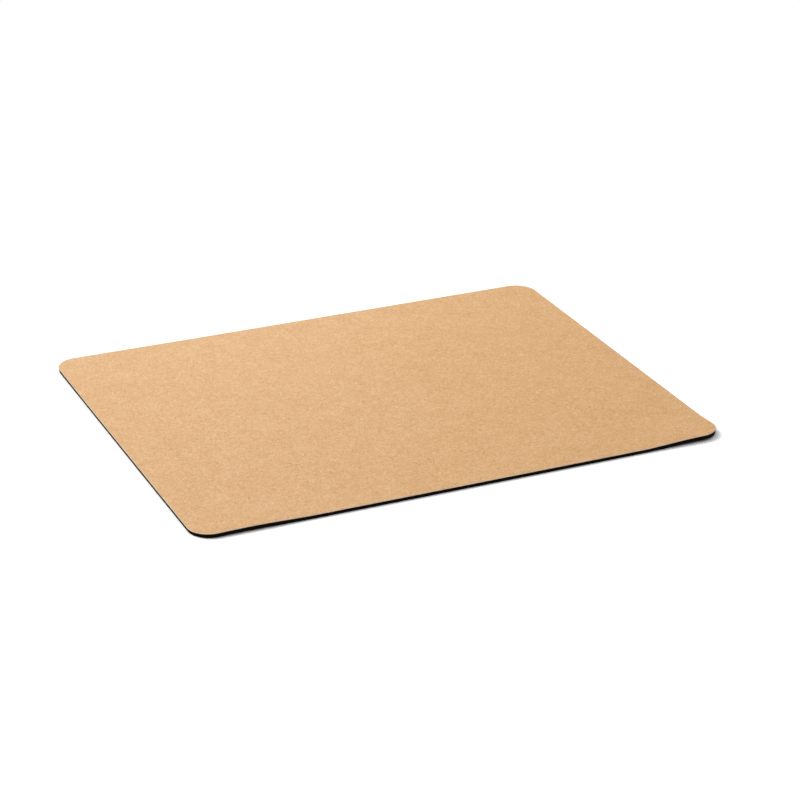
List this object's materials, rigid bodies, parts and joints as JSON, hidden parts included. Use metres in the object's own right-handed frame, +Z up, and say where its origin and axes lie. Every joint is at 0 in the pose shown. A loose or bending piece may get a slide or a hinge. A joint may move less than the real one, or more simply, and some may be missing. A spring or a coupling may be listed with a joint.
{
  "type": "mouse pad",
  "caption": "Thin rectangular mouse pad with rounded corners: a natural kraft board face laminated to a black anti-slip foam rubber base.",
  "frame": {"origin": "centre of the underside, on the surface the pad lies on", "axes": "+X along the long side to the right, +Y along the short side away from the user, +Z up out of the kraft face"},
  "size_m": [0.24, 0.19, 0.002],
  "materials": {
    "kraft_board": "matte",
    "laminating_adhesive": "satin",
    "foam_rubber": "matte"
  },
  "bodies": {
    "root": {"kraft_cover": "kraft_board", "adhesive_film": "laminating_adhesive", "foam_base": "foam_rubber"}
  },
  "joints": []
}
